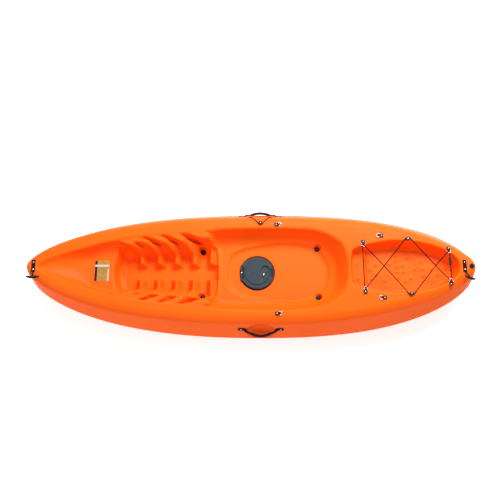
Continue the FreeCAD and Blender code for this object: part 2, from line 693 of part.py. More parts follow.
def make_drain():
    """The drain: a flanged socket in the deck, a washer, and a winged plug on a threaded stem."""
    z = pad_height(DRAIN_X, 0.0, DRAIN_FLANGE_R)
    flange = cylinder(DRAIN_FLANGE_R, DRAIN_FLANGE_T, (DRAIN_X, 0, z))
    sleeve_height = DRAIN_SLEEVE_DEPTH + DRAIN_FLANGE_T
    sleeve = cylinder(DRAIN_HOLE_R - 0.2, sleeve_height, (DRAIN_X, 0, z - DRAIN_SLEEVE_DEPTH))
    bore = cylinder(DRAIN_BORE_R, 40.0, (DRAIN_X, 0, z - 20.0))
    save("drain_socket", flange.fuse(sleeve).removeSplitter().cut(bore))
    washer_z = z + DRAIN_FLANGE_T
    save("drain_gasket", cylinder(DRAIN_WASHER_R, DRAIN_WASHER_T, (DRAIN_X, 0, washer_z)).cut(bore))
    cap_z = washer_z + DRAIN_WASHER_T
    cap = cylinder(DRAIN_CAP_R, DRAIN_CAP_T, (DRAIN_X, 0, cap_z))
    thick, wide, high = DRAIN_WING
    wing_low = (DRAIN_X - thick / 2, -wide / 2, cap_z + DRAIN_CAP_T - 0.5)
    wing = box(wing_low, (DRAIN_X + thick / 2, wide / 2, wing_low[2] + high))
    save("drain_plug", cap.fuse(wing).removeSplitter())
    stem_z = z - DRAIN_STEM_DEPTH
    save("drain_stem", cylinder(DRAIN_STEM_R, cap_z - stem_z, (DRAIN_X, 0, stem_z)))


def scupper_plug(x, y, floor):
    """A rubber stopper: a flange in the recess, a tapered stem in the hole and a pull knob."""
    seat = floor - SCUPPER_RECESS_DEPTH
    flange = cylinder(PLUG_FLANGE_R, 3.5, (x, y, seat))
    stem = Part.makeCone(SCUPPER_R - 3.0, SCUPPER_R - 0.05, 32.0, Vector(x, y, seat - 32.0))
    knob = Part.makeCone(7.0, 5.0, 6.0, Vector(x, y, seat + 3.5))
    return flange.fuse([stem, knob]).removeSplitter()


def make_small_parts():
    screws = make_handle("port", -1) + make_handle("starboard", 1)
    save("handle_screws", *screws)
    bow_z = pad_height(BOW_TOGGLE_X, 0.0, 44.0) + TOGGLE_GRIP_R + 1.0
    screws = make_toggle("bow", BOW_TOGGLE_X, (BOW_TOGGLE_X + 4.0, -70.0, bow_z), TOGGLE_GRIP_LENGTH, 0.0)
    stern_z = pad_height(STERN_TOGGLE_X, 40.0, 20.0) + TOGGLE_GRIP_R + 1.0
    stern_at = (STERN_TOGGLE_X + 24.0, -75.0, stern_z)
    screws += make_toggle("stern", STERN_TOGGLE_X, stern_at, STERN_GRIP_LENGTH, STERN_GRIP_TURN)
    save("toggle_screws", *screws)
    make_drain()
    for name, x, y, floor in SCUPPERS:
        save("scupper_plug_" + name + "_port", scupper_plug(x, -y, floor))
        save("scupper_plug_" + name + "_starboard", scupper_plug(x, y, floor))
    save("label_plate", box((-948, -64, DISH_FLOOR_Z), (-862, 64, DISH_FLOOR_Z + 0.8)))


if __name__ == "__main__":
    os.makedirs("parts", exist_ok=True)
    make_hatch()
    make_pad_eyes()
    make_buttons()
    make_bungees()
    make_small_parts()
    save("hull_shell", make_hull())
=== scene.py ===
"""The looks of a single-seat sit-on-top kayak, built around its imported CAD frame."""

import json
import math

import bmesh
import bpy
import numpy as np
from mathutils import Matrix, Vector


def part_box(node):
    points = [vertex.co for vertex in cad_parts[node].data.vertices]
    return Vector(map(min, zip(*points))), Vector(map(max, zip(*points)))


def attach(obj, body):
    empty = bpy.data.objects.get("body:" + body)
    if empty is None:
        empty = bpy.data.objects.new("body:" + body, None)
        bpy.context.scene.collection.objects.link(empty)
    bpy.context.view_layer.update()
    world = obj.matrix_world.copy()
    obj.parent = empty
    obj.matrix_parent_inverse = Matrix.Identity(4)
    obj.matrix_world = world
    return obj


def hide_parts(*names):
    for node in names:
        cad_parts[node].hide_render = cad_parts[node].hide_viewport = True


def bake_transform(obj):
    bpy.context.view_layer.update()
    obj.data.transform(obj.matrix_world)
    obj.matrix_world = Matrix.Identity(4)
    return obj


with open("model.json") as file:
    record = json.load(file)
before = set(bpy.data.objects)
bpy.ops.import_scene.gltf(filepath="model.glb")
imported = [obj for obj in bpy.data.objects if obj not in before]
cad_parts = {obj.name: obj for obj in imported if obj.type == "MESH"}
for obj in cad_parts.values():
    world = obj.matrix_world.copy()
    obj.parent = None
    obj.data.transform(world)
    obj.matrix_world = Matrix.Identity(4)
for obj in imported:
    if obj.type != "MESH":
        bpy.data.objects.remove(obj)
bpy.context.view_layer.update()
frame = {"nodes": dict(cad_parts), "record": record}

MM = 0.001

# ---------------------------------------------------------------- hull form, in millimetres as in the CAD

LENGTH = 2670.0
BEAM = 784.0
WIDEST_X = 58.0
BOW_REACH = 1398.0
STERN_REACH = 1292.5
BOW_PLAN_POWER = 2.265
STERN_PLAN_POWER = 2.455
PLAN_ROUNDING = 0.547
SHOULDER_RATIO = 0.82
BOW_SHOULDER_DROP = 0.12
STERN_SHOULDER_DROP = 0.30
DECK_CROWN = 6.0
SHOULDER_R = 36.0
KEEL_DIP = 6.0
ROCKER_START = 620.0
ROCKER_POWER = 2.5
BOW_KEEL_RISE = 165.0
STERN_KEEL_RISE = 165.0
PARTING_Z = 106.0
BOW_PARTING_RISE = 85.0
STERN_PARTING_RISE = 115.0
DECK_Z = 262.0
BOW_DECK_RISE = 48.0
STERN_DECK_RISE = 46.0
STERN_RISE_FROM = 250.0
STERN_RISE_OVER = 650.0

DISH_FLOOR_Z = 205.0
FOOTWELL_FLOOR_Z = 122.0
SEAT_STRIP_Z = 165.0
SEAT_FLOOR_Z = 150.0
TANK_FLOOR_Z = 215.0
WELL_RIM_Z = 262.0
STERN_RIM_Z = 308.0
DISH_RIM_Z = 296.0

# The foot-rest ribs run square across up to their bend and then sweep forward to a tip under the
# well's rim. A rib's crest is flat, and widens to a shelf and then closes the pocket at the tip.
RIB_COUNT = 5
RIB_PITCH = 107.5
FIRST_RIB_X = -670.0
RIB_INNER_Y = 54.0
RIB_BEND_Y = 104.0
LAST_RIB_BEND_Y = 148.0
FIRST_TIP_Y = 170.0
LAST_TIP_Y = 222.0
FIRST_RIB_SWEEP = 132.0
RIB_SWEEP = 162.0
RIB_CREST = 12.0
RIB_SHELF = 18.0
RIB_CLOSING = 62.0
LAST_RIB_SHELF = 150.0
BANK_WIDTH = 82.0
BANK_HEIGHT = 112.0
SEAT_STEP_RISE = 34.0
RIB_LOW_Z = 176.0
RIB_HIGH_Z = 272.0
# Outboard of its bend a rib's line eases in, runs straight and curls forward at its tip.
RIB_EASE = 0.16
RIB_STRAIGHT = 0.76
RIB_CURL = 0.3
# A rib's faces as fall over run: the bow face steepens and the stern face eases where the rib turns.
RIB_BOW_SLOPE = 2.1
RIB_BOW_STEEPENING = 4.0
RIB_STERN_SLOPE = 1.75
RIB_STERN_EASING = 0.95
RIB_TIP_STEEPENING = 1.4
RIB_EDGE_R = 4.0
RIB_END_R = 5.0
# The footwell's floor: where its bank starts and ends, and the step up to the seat.
BANK_AHEAD = 130.0
BANK_START_RUN = 60.0
BANK_END_X = -270.0
BANK_END_RUN = 50.0
SEAT_STEP_X = -242.0
SEAT_STEP_RUN = 14.0
CHANNEL_HALF = 40.0
CHANNEL_SIDE_RUN = 12.0

HATCH_X = 38.0
HATCH_RECESS_R = 108.5
HATCH_RECESS_Z = 138.0
HATCH_HOLE_R = 86.0
HATCH_WAY_LOW_Z = 60.0
SCUPPER_RECESS_R = 22.0
SCUPPER_HOLE_R = 13.0
PLUG_DEPTH = 7.0
SCUPPERS = ((-297.0, 144.0, FOOTWELL_FLOOR_Z), (409.0, 154.0, SEAT_FLOOR_Z))
HANDLE_X = 58.0
POCKET_AT = (HANDLE_X, 394.0, 184.0)
POCKET_REACH = (100.0, 74.0, 80.0)

# Each well's outline on one side of the centreline, at its rim and then at its floor.
DISH = (
    [(-1262, 0), (-1235, 30), (-1150, 70), (-1028, 111), (-930, 145),
     (-850, 166), (-800, 160), (-780, 90), (-775, 0)],
    [(-1236, 0), (-1212, 16), (-1130, 48), (-1015, 88), (-922, 120),
     (-850, 140), (-806, 136), (-788, 80), (-783, 0)],
)
FOOTWELL = (
    [(-852, 0), (-845, 90), (-826, 152), (-760, 178), (-606, 200),
     (-440, 218), (-300, 232), (-218, 222), (-200, 130), (-196, 0)],
    [(-812, 0), (-798, 56), (-772, 102), (-730, 142), (-606, 165),
     (-440, 180), (-300, 190), (-234, 180), (-206, 110), (-202, 0)],
)
SEAT = (
    [(-232, 0), (-234, 110), (-252, 208), (-200, 244), (54, 253),
     (300, 250), (425, 225), (520, 160), (554, 92), (565, 0)],
    [(-206, 0), (-208, 100), (-214, 172), (-165, 204), (54, 214),
     (280, 208), (390, 184), (460, 132), (500, 74), (508, 0)],
)
BOWL = (
    [(-150, 0), (-146, 60), (-118, 120), (-40, 156), (60, 176),
     (200, 190), (330, 180), (420, 140), (470, 70), (480, 0)],
    [(-130, 0), (-126, 54), (-100, 110), (-28, 144), (60, 165),
     (200, 180), (325, 170), (410, 130), (458, 64), (468, 0)],
)
TANK = (
    [(594, 0), (599, 78), (622, 118), (740, 148), (865, 160),
     (1000, 150), (1110, 124), (1190, 84), (1228, 42), (1240, 0)],
    [(612, 0), (616, 66), (636, 102), (745, 128), (865, 140),
     (1000, 130), (1100, 106), (1170, 70), (1204, 34), (1214, 0)],
)
# Where the low bumps on the tank well's floor are, from the hull's middle and from the centreline.
TANK_BUMPS = (
    (636, 30), (642, -60), (712, 62), (718, 0), (724, -56), (755, 32), (758, -30), (805, -66),
    (838, 36), (876, 92), (880, 60), (882, 20), (884, -12), (888, -48), (918, 28), (922, -10),
    (950, 74), (962, -52), (990, 6), (1030, 50), (1036, 4), (1040, -36), (1090, 6), (1110, 46),
    (1128, 12), (1122, -28), (1176, 8), (930, -70),
)
BUMP_R = 11.0
BUMP_HEIGHT = 7.0
TANK_LEDGE_X = 700.0
TANK_LEDGE_RUN = 14.0
TANK_LEDGE_RISE = 22.0

# The bow dish is cupped across: a little beside its plate, and more where it rises to the bow.
DISH_BELOW_PLATE = 0.6
DISH_CUP_Y = 62.0
DISH_CUP = 0.0011
DISH_BOW_CUP = 0.0045
DISH_BOW_CUP_X = -965.0
DISH_BOW_CUP_RUN = 160.0
DISH_RISE_X = -955.0
DISH_RISE_RUN = 300.0
DISH_RISE = 78.0

# The hollow inside the hull, under the seat well.
STOW_X = 90.0
STOW_Z = 70.0
STOW_HALF = (265.0, 185.0, 58.0)
STOW_CORNER_R = 60.0
STOW_EDGE_R = 30.0

# Roundings of the outer form and of its wells.
END_R = 16.0
PARTING_EDGE_R = 4.0
KEEL_EDGE_R = 5.0
WELL_EDGE_R = 10.0
RIB_JOIN_R = 18.0
RIB_ROOT_R = 7.0
BOWL_EDGE_R = 5.0
SEAT_TO_FOOTWELL_R = 6.0
FOOTWELL_TO_DISH_R = 12.0
SEAT_TO_TANK_R = 10.0
HATCH_RECESS_FOOT_R = 1.5
HATCH_RECESS_EDGE_R = 4.0
HATCH_WAY_FOOT_R = 2.0
HATCH_WAY_EDGE_R = 1.5
SCUPPER_RECESS_FOOT_R = 3.0
SCUPPER_RECESS_EDGE_R = 5.0
POCKET_EDGE_R = 5.0

# How far from the bottom its field is true, where the ribs' fields are worked out, and a field's
# value where nothing is near.
BILGE_REACH = 90.0
RIBS_FROM_X = -900.0
RIBS_TO_X = -130.0
FAR = 500.0

CELL = 5.0
MAX_HULL_FACES = 190000
HULL_LOW = (-LENGTH / 2.0 - 15.0, -410.0, -12.5)
HULL_HIGH = (LENGTH / 2.0 + 15.0, 410.0, 352.0)


def smooth(t):
    """A smooth step from 0 to 1."""
    t = np.clip(t, 0.0, 1.0)
    return t * t * (3.0 - 2.0 * t)


def half_beam(x):
    """Half the hull's breadth along its parting line."""
    reach = np.where(x < WIDEST_X, BOW_REACH, STERN_REACH)
    power = np.where(x < WIDEST_X, BOW_PLAN_POWER, STERN_PLAN_POWER)
    u = np.minimum(np.abs(x - WIDEST_X) / reach, 0.9999)
    return BEAM / 2.0 * (1.0 - u**power) ** PLAN_ROUNDING


def shoulder_share(x):
    """The deck's breadth as a share of the beam: it narrows towards both ends."""
    drop = np.where(x < 0.0, BOW_SHOULDER_DROP, STERN_SHOULDER_DROP)
    return SHOULDER_RATIO - drop * (2.0 * x / LENGTH) ** 4


def keel_z(x):
    """The bottom's lowest line, which dips below the flat of the keel and rises to both ends."""
    rise = np.where(x < 0.0, BOW_KEEL_RISE, STERN_KEEL_RISE)
    s = np.maximum(np.abs(x) - ROCKER_START, 0.0) / (LENGTH / 2.0 - ROCKER_START)
    return -KEEL_DIP + rise * s**ROCKER_POWER


def parting_z(x):
    """The height of the widest line, where the mould parts."""
    rise = np.where(x < 0.0, BOW_PARTING_RISE, STERN_PARTING_RISE)
    return PARTING_Z + rise * (2.0 * np.abs(x) / LENGTH) ** 2.2


def shoulder_z(x):
    """The height of the deck's edge."""
    bow = DECK_Z + BOW_DECK_RISE * (2.0 * x / LENGTH) ** 2
    stern = DECK_Z + STERN_DECK_RISE * smooth((x - STERN_RISE_FROM) / STERN_RISE_OVER)
    return np.where(x < 0.0, bow, stern)


def side_y(x, z):
    """How far out the flat topside is at a height above the parting line."""
    low, high = parting_z(x), shoulder_z(x)
    return half_beam(x) * (1.0 - (1.0 - shoulder_share(x)) * (z - low) / (high - low))


def deck_z(x, y):
    """The deck's height, with its slight crown."""
    half = half_beam(x) * shoulder_share(x)
    return shoulder_z(x) + DECK_CROWN * np.maximum(0.0, 1.0 - (y / half) ** 2)


def spline_point(a, b, c, d, t):
    """The smooth curve from b to c at t, with a before them and d after them."""
    bend = 2 * a - 5 * b + 4 * c - d
    return b + 0.5 * t * (c - a + t * (bend + t * (3 * (b - c) + d - a)))


# Fields are negative inside the material or the hollow that they describe.


def both_of(a, b, radius):
    """Intersection with its edge rounded."""
    reach = np.hypot(np.maximum(radius + a, 0.0), np.maximum(radius + b, 0.0))
    return np.minimum(-radius, np.maximum(a, b)) + reach


def either_of(a, b, radius):
    """Union with its inside corner rounded."""
    return -both_of(-a, -b, radius)


def outline_polygon(points):
    """A smooth closed line through points on one side of the centreline and their mirror images."""
    ring = np.array(points + [(x, -y) for x, y in reversed(points) if y > 0.0], float)
    found = []
    steps = np.linspace(0.0, 1.0, 12, endpoint=False)[:, None]
    for i in range(len(ring)):
        a, b, c, d = (ring[(i + k) % len(ring)] for k in (-1, 0, 1, 2))
        found.append(spline_point(a, b, c, d, steps))
    return np.vstack(found)


class Outline:
    """The distance in plan from an outline, negative inside, looked up from a grid."""

    STEP = 4.0
    MARGIN = 120.0

    def __init__(self, points):
        poly = outline_polygon(points)
        self.start = poly[:, 0].min() - self.MARGIN
        nx = int((poly[:, 0].max() + self.MARGIN - self.start) / self.STEP) + 2
        ny = int((poly[:, 1].max() + self.MARGIN) / self.STEP) + 2
        xs = np.arange(nx) * self.STEP + self.start
        gx, gy = np.meshgrid(xs, np.arange(ny) * self.STEP, indexing="ij")
        best = np.full(gx.shape, 1e9)
        inside = np.zeros(gx.shape, bool)
        for (ax, ay), (bx, by) in zip(poly, np.roll(poly, -1, axis=0)):
            ex, ey = bx - ax, by - ay
            t = np.clip(((gx - ax) * ex + (gy - ay) * ey) / (ex * ex + ey * ey), 0.0, 1.0)
            best = np.minimum(best, (gx - ax - t * ex) ** 2 + (gy - ay - t * ey) ** 2)
            if ay != by:
                crosses = ((ay > gy) != (by > gy)) & (gx < (gy - ay) * ex / ey + ax)
                inside ^= crosses
        self.grid = np.where(inside, -1.0, 1.0) * np.sqrt(best)

    def __call__(self, x, y):
        u = np.clip((x - self.start) / self.STEP, 0.0, self.grid.shape[0] - 1.001)
        v = np.clip(np.abs(y) / self.STEP, 0.0, self.grid.shape[1] - 1.001)
        i, j = u.astype(int), v.astype(int)
        u, v = u - i, v - j
        g = self.grid
        low = g[i, j] * (1 - u) + g[i + 1, j] * u
        high = g[i, j + 1] * (1 - u) + g[i + 1, j + 1] * u
        return low * (1 - v) + high * v


# Each well's rim and floor outlines, the heights where those lie, and the radius between wall and floor.
WELLS = {
    "dish": (DISH, DISH_RIM_Z, DISH_FLOOR_Z, 26.0),
    "footwell": (FOOTWELL, WELL_RIM_Z, FOOTWELL_FLOOR_Z, 24.0),
    "seat": (SEAT, WELL_RIM_Z, SEAT_STRIP_Z, 34.0),
    "bowl": (BOWL, SEAT_STRIP_Z, SEAT_FLOOR_Z, 8.0),
    "tank": (TANK, STERN_RIM_Z, TANK_FLOOR_Z, 14.0),
}
OUTLINES = {name: [Outline(line) for line in row[0]] for name, row in WELLS.items()}


def well(name, x, y, z, floor_z):
    """A drafted hollow whose floor may vary in height over the plan."""
    rim, floor = (line(x, y) for line in OUTLINES[name])
    _, rim_z, base, foot = WELLS[name]
    rise = rim_z - base
    t = np.clip((z - base) / rise, -0.3, 2.5)
    wall = (floor + (rim - floor) * t) / np.sqrt(1.0 + ((rim - floor) / rise) ** 2)
    return both_of(wall, floor_z - z, foot)


def outer_form(x, y, z):
    """The hull without its wells: flat sides leaning in to the deck, over a rounded bottom."""
    ay = np.abs(y)
    beam, keel, parting, deck = half_beam(x), keel_z(x), parting_z(x), shoulder_z(x)
    lean = (1.0 - shoulder_share(x)) * beam / (deck - parting)
    top = (ay - beam + lean * (z - parting)) / np.sqrt(1.0 + lean**2)
    depth = np.maximum(parting - z, 0.0) / (parting - keel)
    share = ay / beam
    value = share**2.2 + depth**3 - 1.0
    steep = np.hypot(2.2 * share**1.2 / beam, 3.0 * depth**2 / (parting - keel))
    bottom = np.clip(value / np.maximum(steep, 2e-3), -BILGE_REACH, BILGE_REACH)
    side = both_of(top, bottom, PARTING_EDGE_R)
    body = both_of(side, z - deck_z(x, y), SHOULDER_R)
    body = both_of(body, np.abs(x) - LENGTH / 2.0, END_R)
    return both_of(body, -z, KEEL_EDGE_R)


def rib(index, x, y, z):
    """A foot-rest rib: low and square across inboard, then rising as a saw tooth swept forward to its tip."""
    ay = np.abs(y)
    at = FIRST_RIB_X + RIB_PITCH * index
    tip = FIRST_TIP_Y + (LAST_TIP_Y - FIRST_TIP_Y) * index / (RIB_COUNT - 1)
    bend = LAST_RIB_BEND_Y if index == RIB_COUNT - 1 else RIB_BEND_Y
    sweep = FIRST_RIB_SWEEP if index == 0 else RIB_SWEEP
    s = np.maximum(ay - bend, 0.0) / (tip - bend)
    ease = np.where(s < RIB_EASE, s * s / (2.0 * RIB_EASE), s - RIB_EASE / 2.0)
    curl = np.minimum(s, 1.3)
    swept = sweep * (RIB_STRAIGHT * ease + RIB_CURL * curl**4)
    rate = sweep * (RIB_STRAIGHT * np.minimum(s / RIB_EASE, 1.0) + 4.0 * RIB_CURL * curl**3) / (tip - bend)
    wide = RIB_CREST + RIB_SHELF * smooth((s - 0.3) / 0.5) + RIB_CLOSING * smooth((s - 0.65) / 0.4)
    if index == RIB_COUNT - 1:
        wide = RIB_CREST + LAST_RIB_SHELF * smooth(s / 0.5)
    crest = RIB_LOW_Z + (RIB_HIGH_Z - RIB_LOW_Z) * smooth((ay - bend + 10.0) / (0.8 * (tip - bend) + 10.0))
    edge = at - RIB_CREST / 2.0 - swept
    turned, ended = smooth(s / 0.35), smooth((s - 0.6) / 0.4)
    low = z - crest
    bow_slope = RIB_BOW_SLOPE + RIB_BOW_STEEPENING * turned
    stern_slope = RIB_STERN_SLOPE - RIB_STERN_EASING * turned + RIB_TIP_STEEPENING * ended
    faces = []
    for gap, slope in ((edge - x, bow_slope), (x - edge - wide, stern_slope)):
        faces.append((low + slope * gap) / np.sqrt(1.0 + slope**2 * (1.0 + rate**2)))
    shape = both_of(faces[0], faces[1], RIB_EDGE_R)
    inner_end = (low + 3.0 * (RIB_INNER_Y - ay)) / 3.16
    shape = both_of(shape, inner_end, RIB_END_R)
    return both_of(shape, low, RIB_EDGE_R)


def footwell_floor(x, y):
    """The footwell's floor: level between the ribs' inner parts and banked up towards its rim."""
    near_rim = OUTLINES["footwell"][0](x, y) / BANK_WIDTH + 1.0
    behind = smooth((x - FIRST_RIB_X + BANK_AHEAD) / BANK_START_RUN) * smooth((BANK_END_X - x) / BANK_END_RUN)
    beside = smooth((np.abs(y) - CHANNEL_HALF) / CHANNEL_SIDE_RUN)
    step = SEAT_STEP_RISE * smooth((x - SEAT_STEP_X) / SEAT_STEP_RUN) * beside
    return FOOTWELL_FLOOR_Z + BANK_HEIGHT * np.clip(near_rim, 0.0, 1.0) ** 1.2 * behind + step


def tank_floor(x, y):
    """The tank well's floor: a ledge at its front end and scattered low bumps."""
    rise = TANK_LEDGE_RISE * smooth((TANK_LEDGE_X - x) / TANK_LEDGE_RUN)
    for at, out in TANK_BUMPS:
        away = (x - at) ** 2 + (y - out) ** 2
        rise = rise + BUMP_HEIGHT * np.exp(-2.0 * away / BUMP_R**2)
    return TANK_FLOOR_Z + rise


def dish_floor(x, y):
    """The bow dish's floor: level under its plate, then rising and cupped towards the bow."""
    beside = np.maximum(np.abs(y) - DISH_CUP_Y, 0.0)
    cup = DISH_CUP * beside**2 + DISH_BOW_CUP * y**2 * smooth((DISH_BOW_CUP_X - x) / DISH_BOW_CUP_RUN)
    return DISH_FLOOR_Z - DISH_BELOW_PLATE + cup + DISH_RISE * smooth((DISH_RISE_X - x) / DISH_RISE_RUN)


def wells(x, y, z):
    """The deck's wells, with the foot-rest ribs left standing in the footwell."""
    foot = well("footwell", x, y, z, footwell_floor(x, y))
    near = (x > RIBS_FROM_X) & (x < RIBS_TO_X)
    ribs = np.full(x.shape, FAR)
    inside = np.nonzero(near)
    px, py, pz = x[inside], y[inside], z[inside]
    found = np.full(px.shape, FAR)
    for index in range(RIB_COUNT):
        found = either_of(found, rib(index, px, py, pz), RIB_JOIN_R)
    ribs[inside] = found
    foot = both_of(foot, -ribs, RIB_ROOT_R)
    dish = well("dish", x, y, z, dish_floor(x, y))
    seat = well("seat", x, y, z, SEAT_STRIP_Z)
    bowl = well("bowl", x, y, z, SEAT_FLOOR_Z)
    tank = well("tank", x, y, z, tank_floor(x, y))
    hollow = either_of(seat, bowl, BOWL_EDGE_R)
    hollow = either_of(hollow, foot, SEAT_TO_FOOTWELL_R)
    hollow = either_of(hollow, dish, FOOTWELL_TO_DISH_R)
    return either_of(hollow, tank, SEAT_TO_TANK_R)


def finger_pocket(x, y, z):
    """The hollow in the topside behind a carry handle's grip."""
    along, out, up = ((v - at) / reach for v, at, reach in zip((x, np.abs(y), z), POCKET_AT, POCKET_REACH))
    return (np.sqrt(along**2 + out**2 + up**2) - 1.0) * min(POCKET_REACH)


def hull_form(x, y, z):
    """The finished hull, with its wells, hatch way, scupper holes, finger pockets and inner hollow."""
    body = both_of(outer_form(x, y, z), -wells(x, y, z), WELL_EDGE_R)
    ring = np.hypot(x - HATCH_X, y)
    recess = both_of(ring - HATCH_RECESS_R, HATCH_RECESS_Z - z, HATCH_RECESS_FOOT_R)
    body = both_of(body, -recess, HATCH_RECESS_EDGE_R)
    way = both_of(ring - HATCH_HOLE_R, HATCH_WAY_LOW_Z - z, HATCH_WAY_FOOT_R)
    body = both_of(body, -way, HATCH_WAY_EDGE_R)
    for at, out, floor in SCUPPERS:
        ring = np.hypot(x - at, np.abs(y) - out)
        recess = both_of(ring - SCUPPER_RECESS_R, floor - PLUG_DEPTH - z, SCUPPER_RECESS_FOOT_R)
        body = both_of(body, -recess, SCUPPER_RECESS_EDGE_R)
        body = np.maximum(body, SCUPPER_HOLE_R - ring)
    body = both_of(body, -finger_pocket(x, y, z), POCKET_EDGE_R)
    stow = both_of(np.abs(x - STOW_X) - STOW_HALF[0], np.abs(y) - STOW_HALF[1], STOW_CORNER_R)
    stow = both_of(stow, np.abs(z - STOW_Z) - STOW_HALF[2], STOW_EDGE_R)
    return np.maximum(body, -stow)


def sample(field, axes):
    """A field's values on a grid."""
    gy, gz = np.meshgrid(axes[1], axes[2], indexing="ij")
    values = np.empty(tuple(len(a) for a in axes), np.float32)
    for i, x in enumerate(axes[0]):
        values[i] = field(np.full(gy.shape, x), gy, gz)
    return values


def neighbours(axis, margin=0):
    """Slices that pair each grid point with the next one along an axis."""
    a = [slice(margin, -margin or None)] * 3
    b = list(a)
    a[axis], b[axis] = slice(0, -1), slice(1, None)
    return tuple(a), tuple(b)


def edge_crossings(values):
    """For each cell, how many of its edges the surface crosses, and the sum of the crossing points."""
    cells = tuple(n - 1 for n in values.shape)
    count = np.zeros(cells, np.int16)
    total = np.zeros(cells + (3,), np.float32)
    for axis in range(3):
        others = [k for k in range(3) if k != axis]
        a, b = neighbours(axis)
        va, vb = values[a], values[b]
        cut = (va < 0.0) != (vb < 0.0)
        where = np.divide(va, va - vb, out=np.zeros_like(va), where=cut)
        for da, db in ((0, 0), (0, 1), (1, 0), (1, 1)):
            pick = [slice(None)] * 3
            pick[others[0]] = slice(da, da + cells[others[0]])
            pick[others[1]] = slice(db, db + cells[others[1]])
            here = cut[tuple(pick)]
            count += here
            total[..., axis] += np.where(here, where[tuple(pick)], 0.0)
            total[..., others[0]] += here * da
            total[..., others[1]] += here * db
    return count, total


def quads_across(inside, number):
    """A quad for each grid edge that the surface crosses, joining the cells round it and facing out."""
    quads = []
    for axis in range(3):
        u, v = (axis + 1) % 3, (axis + 2) % 3
        a, b = neighbours(axis, 1)
        change = inside[a].astype(np.int8) - inside[b].astype(np.int8)
        cells = np.argwhere(change != 0)
        sign = change[tuple(cells.T)]
        cells = cells + [0 if k == axis else 1 for k in range(3)]
        corner = []
        for du, dv in ((-1, -1), (0, -1), (0, 0), (-1, 0)):
            c = cells.copy()
            c[:, u] += du
            c[:, v] += dv
            corner.append(number[tuple(c.T)])
        quad = np.stack(corner, axis=1)
        quad[sign < 0] = quad[sign < 0][:, ::-1]
        quads.append(quad)
    return np.vstack(quads)


def grow_mesh(field, low, high, cell):
    """Points and quads of the surface where a field is zero, from a grid of samples."""
    values = sample(field, [np.arange(a, b + cell, cell) for a, b in zip(low, high)])
    count, total = edge_crossings(values)
    active = count > 0
    number = np.full(count.shape, -1, np.int64)
    number[active] = np.arange(active.sum())
    points = (np.argwhere(active) + total[active] / count[active][:, None]) * cell + np.array(low)
    return points, quads_across(values < 0.0, number)


def slope_of(field, points, step):
    """The direction in which a field grows at each point, and its rate."""
    found = np.empty(points.shape)
    for axis in range(3):
        shift = np.zeros(3)
        shift[axis] = step
        high, low = points + shift, points - shift
        found[:, axis] = (field(*high.T) - field(*low.T)) / (2.0 * step)
    rate = np.linalg.norm(found, axis=1)
    return found / np.maximum(rate, 1e-6)[:, None], rate


def settle(field, points, reach):
    """Move points onto the surface where the field is zero, by no more than reach."""
    moved = points.copy()
    for step in (2.0, 1.0):
        along, rate = slope_of(field, moved, step)
        gap = field(*moved.T) / np.maximum(rate, 0.3)
        moved -= along * np.clip(gap, -reach, reach)[:, None]
    return moved


def make_hull():
    """The hull's skin, taken from its form, thinned where it is smooth and shaded by the form's slope."""
    points, quads = grow_mesh(hull_form, HULL_LOW, HULL_HIGH, CELL)
    points = settle(hull_form, points, 0.6 * CELL)
    mesh = bpy.data.meshes.new("hull_skin")
    mesh.from_pydata((points * MM).tolist(), [], quads.tolist())
    obj = bpy.data.objects.new("hull_skin", mesh)
    bpy.context.scene.collection.objects.link(obj)
    thin = obj.modifiers.new("thin", "DECIMATE")
    thin.ratio = min(1.0, MAX_HULL_FACES / (2.0 * len(quads)))
    bpy.context.view_layer.update()
    lean = bpy.data.meshes.new_from_object(obj.evaluated_get(bpy.context.evaluated_depsgraph_get()))
    obj.modifiers.clear()
    obj.data = lean
    flat = np.empty(len(lean.vertices) * 3, np.float32)
    lean.vertices.foreach_get("co", flat)
    spots = flat.reshape(-1, 3).astype(float) / MM
    normals, _ = slope_of(hull_form, spots, 1.5)
    lean.polygons.foreach_set("use_smooth", [True] * len(lean.polygons))
    lean.normals_split_custom_set_from_vertices(normals.tolist())
    return obj


# ---------------------------------------------------------------- materials


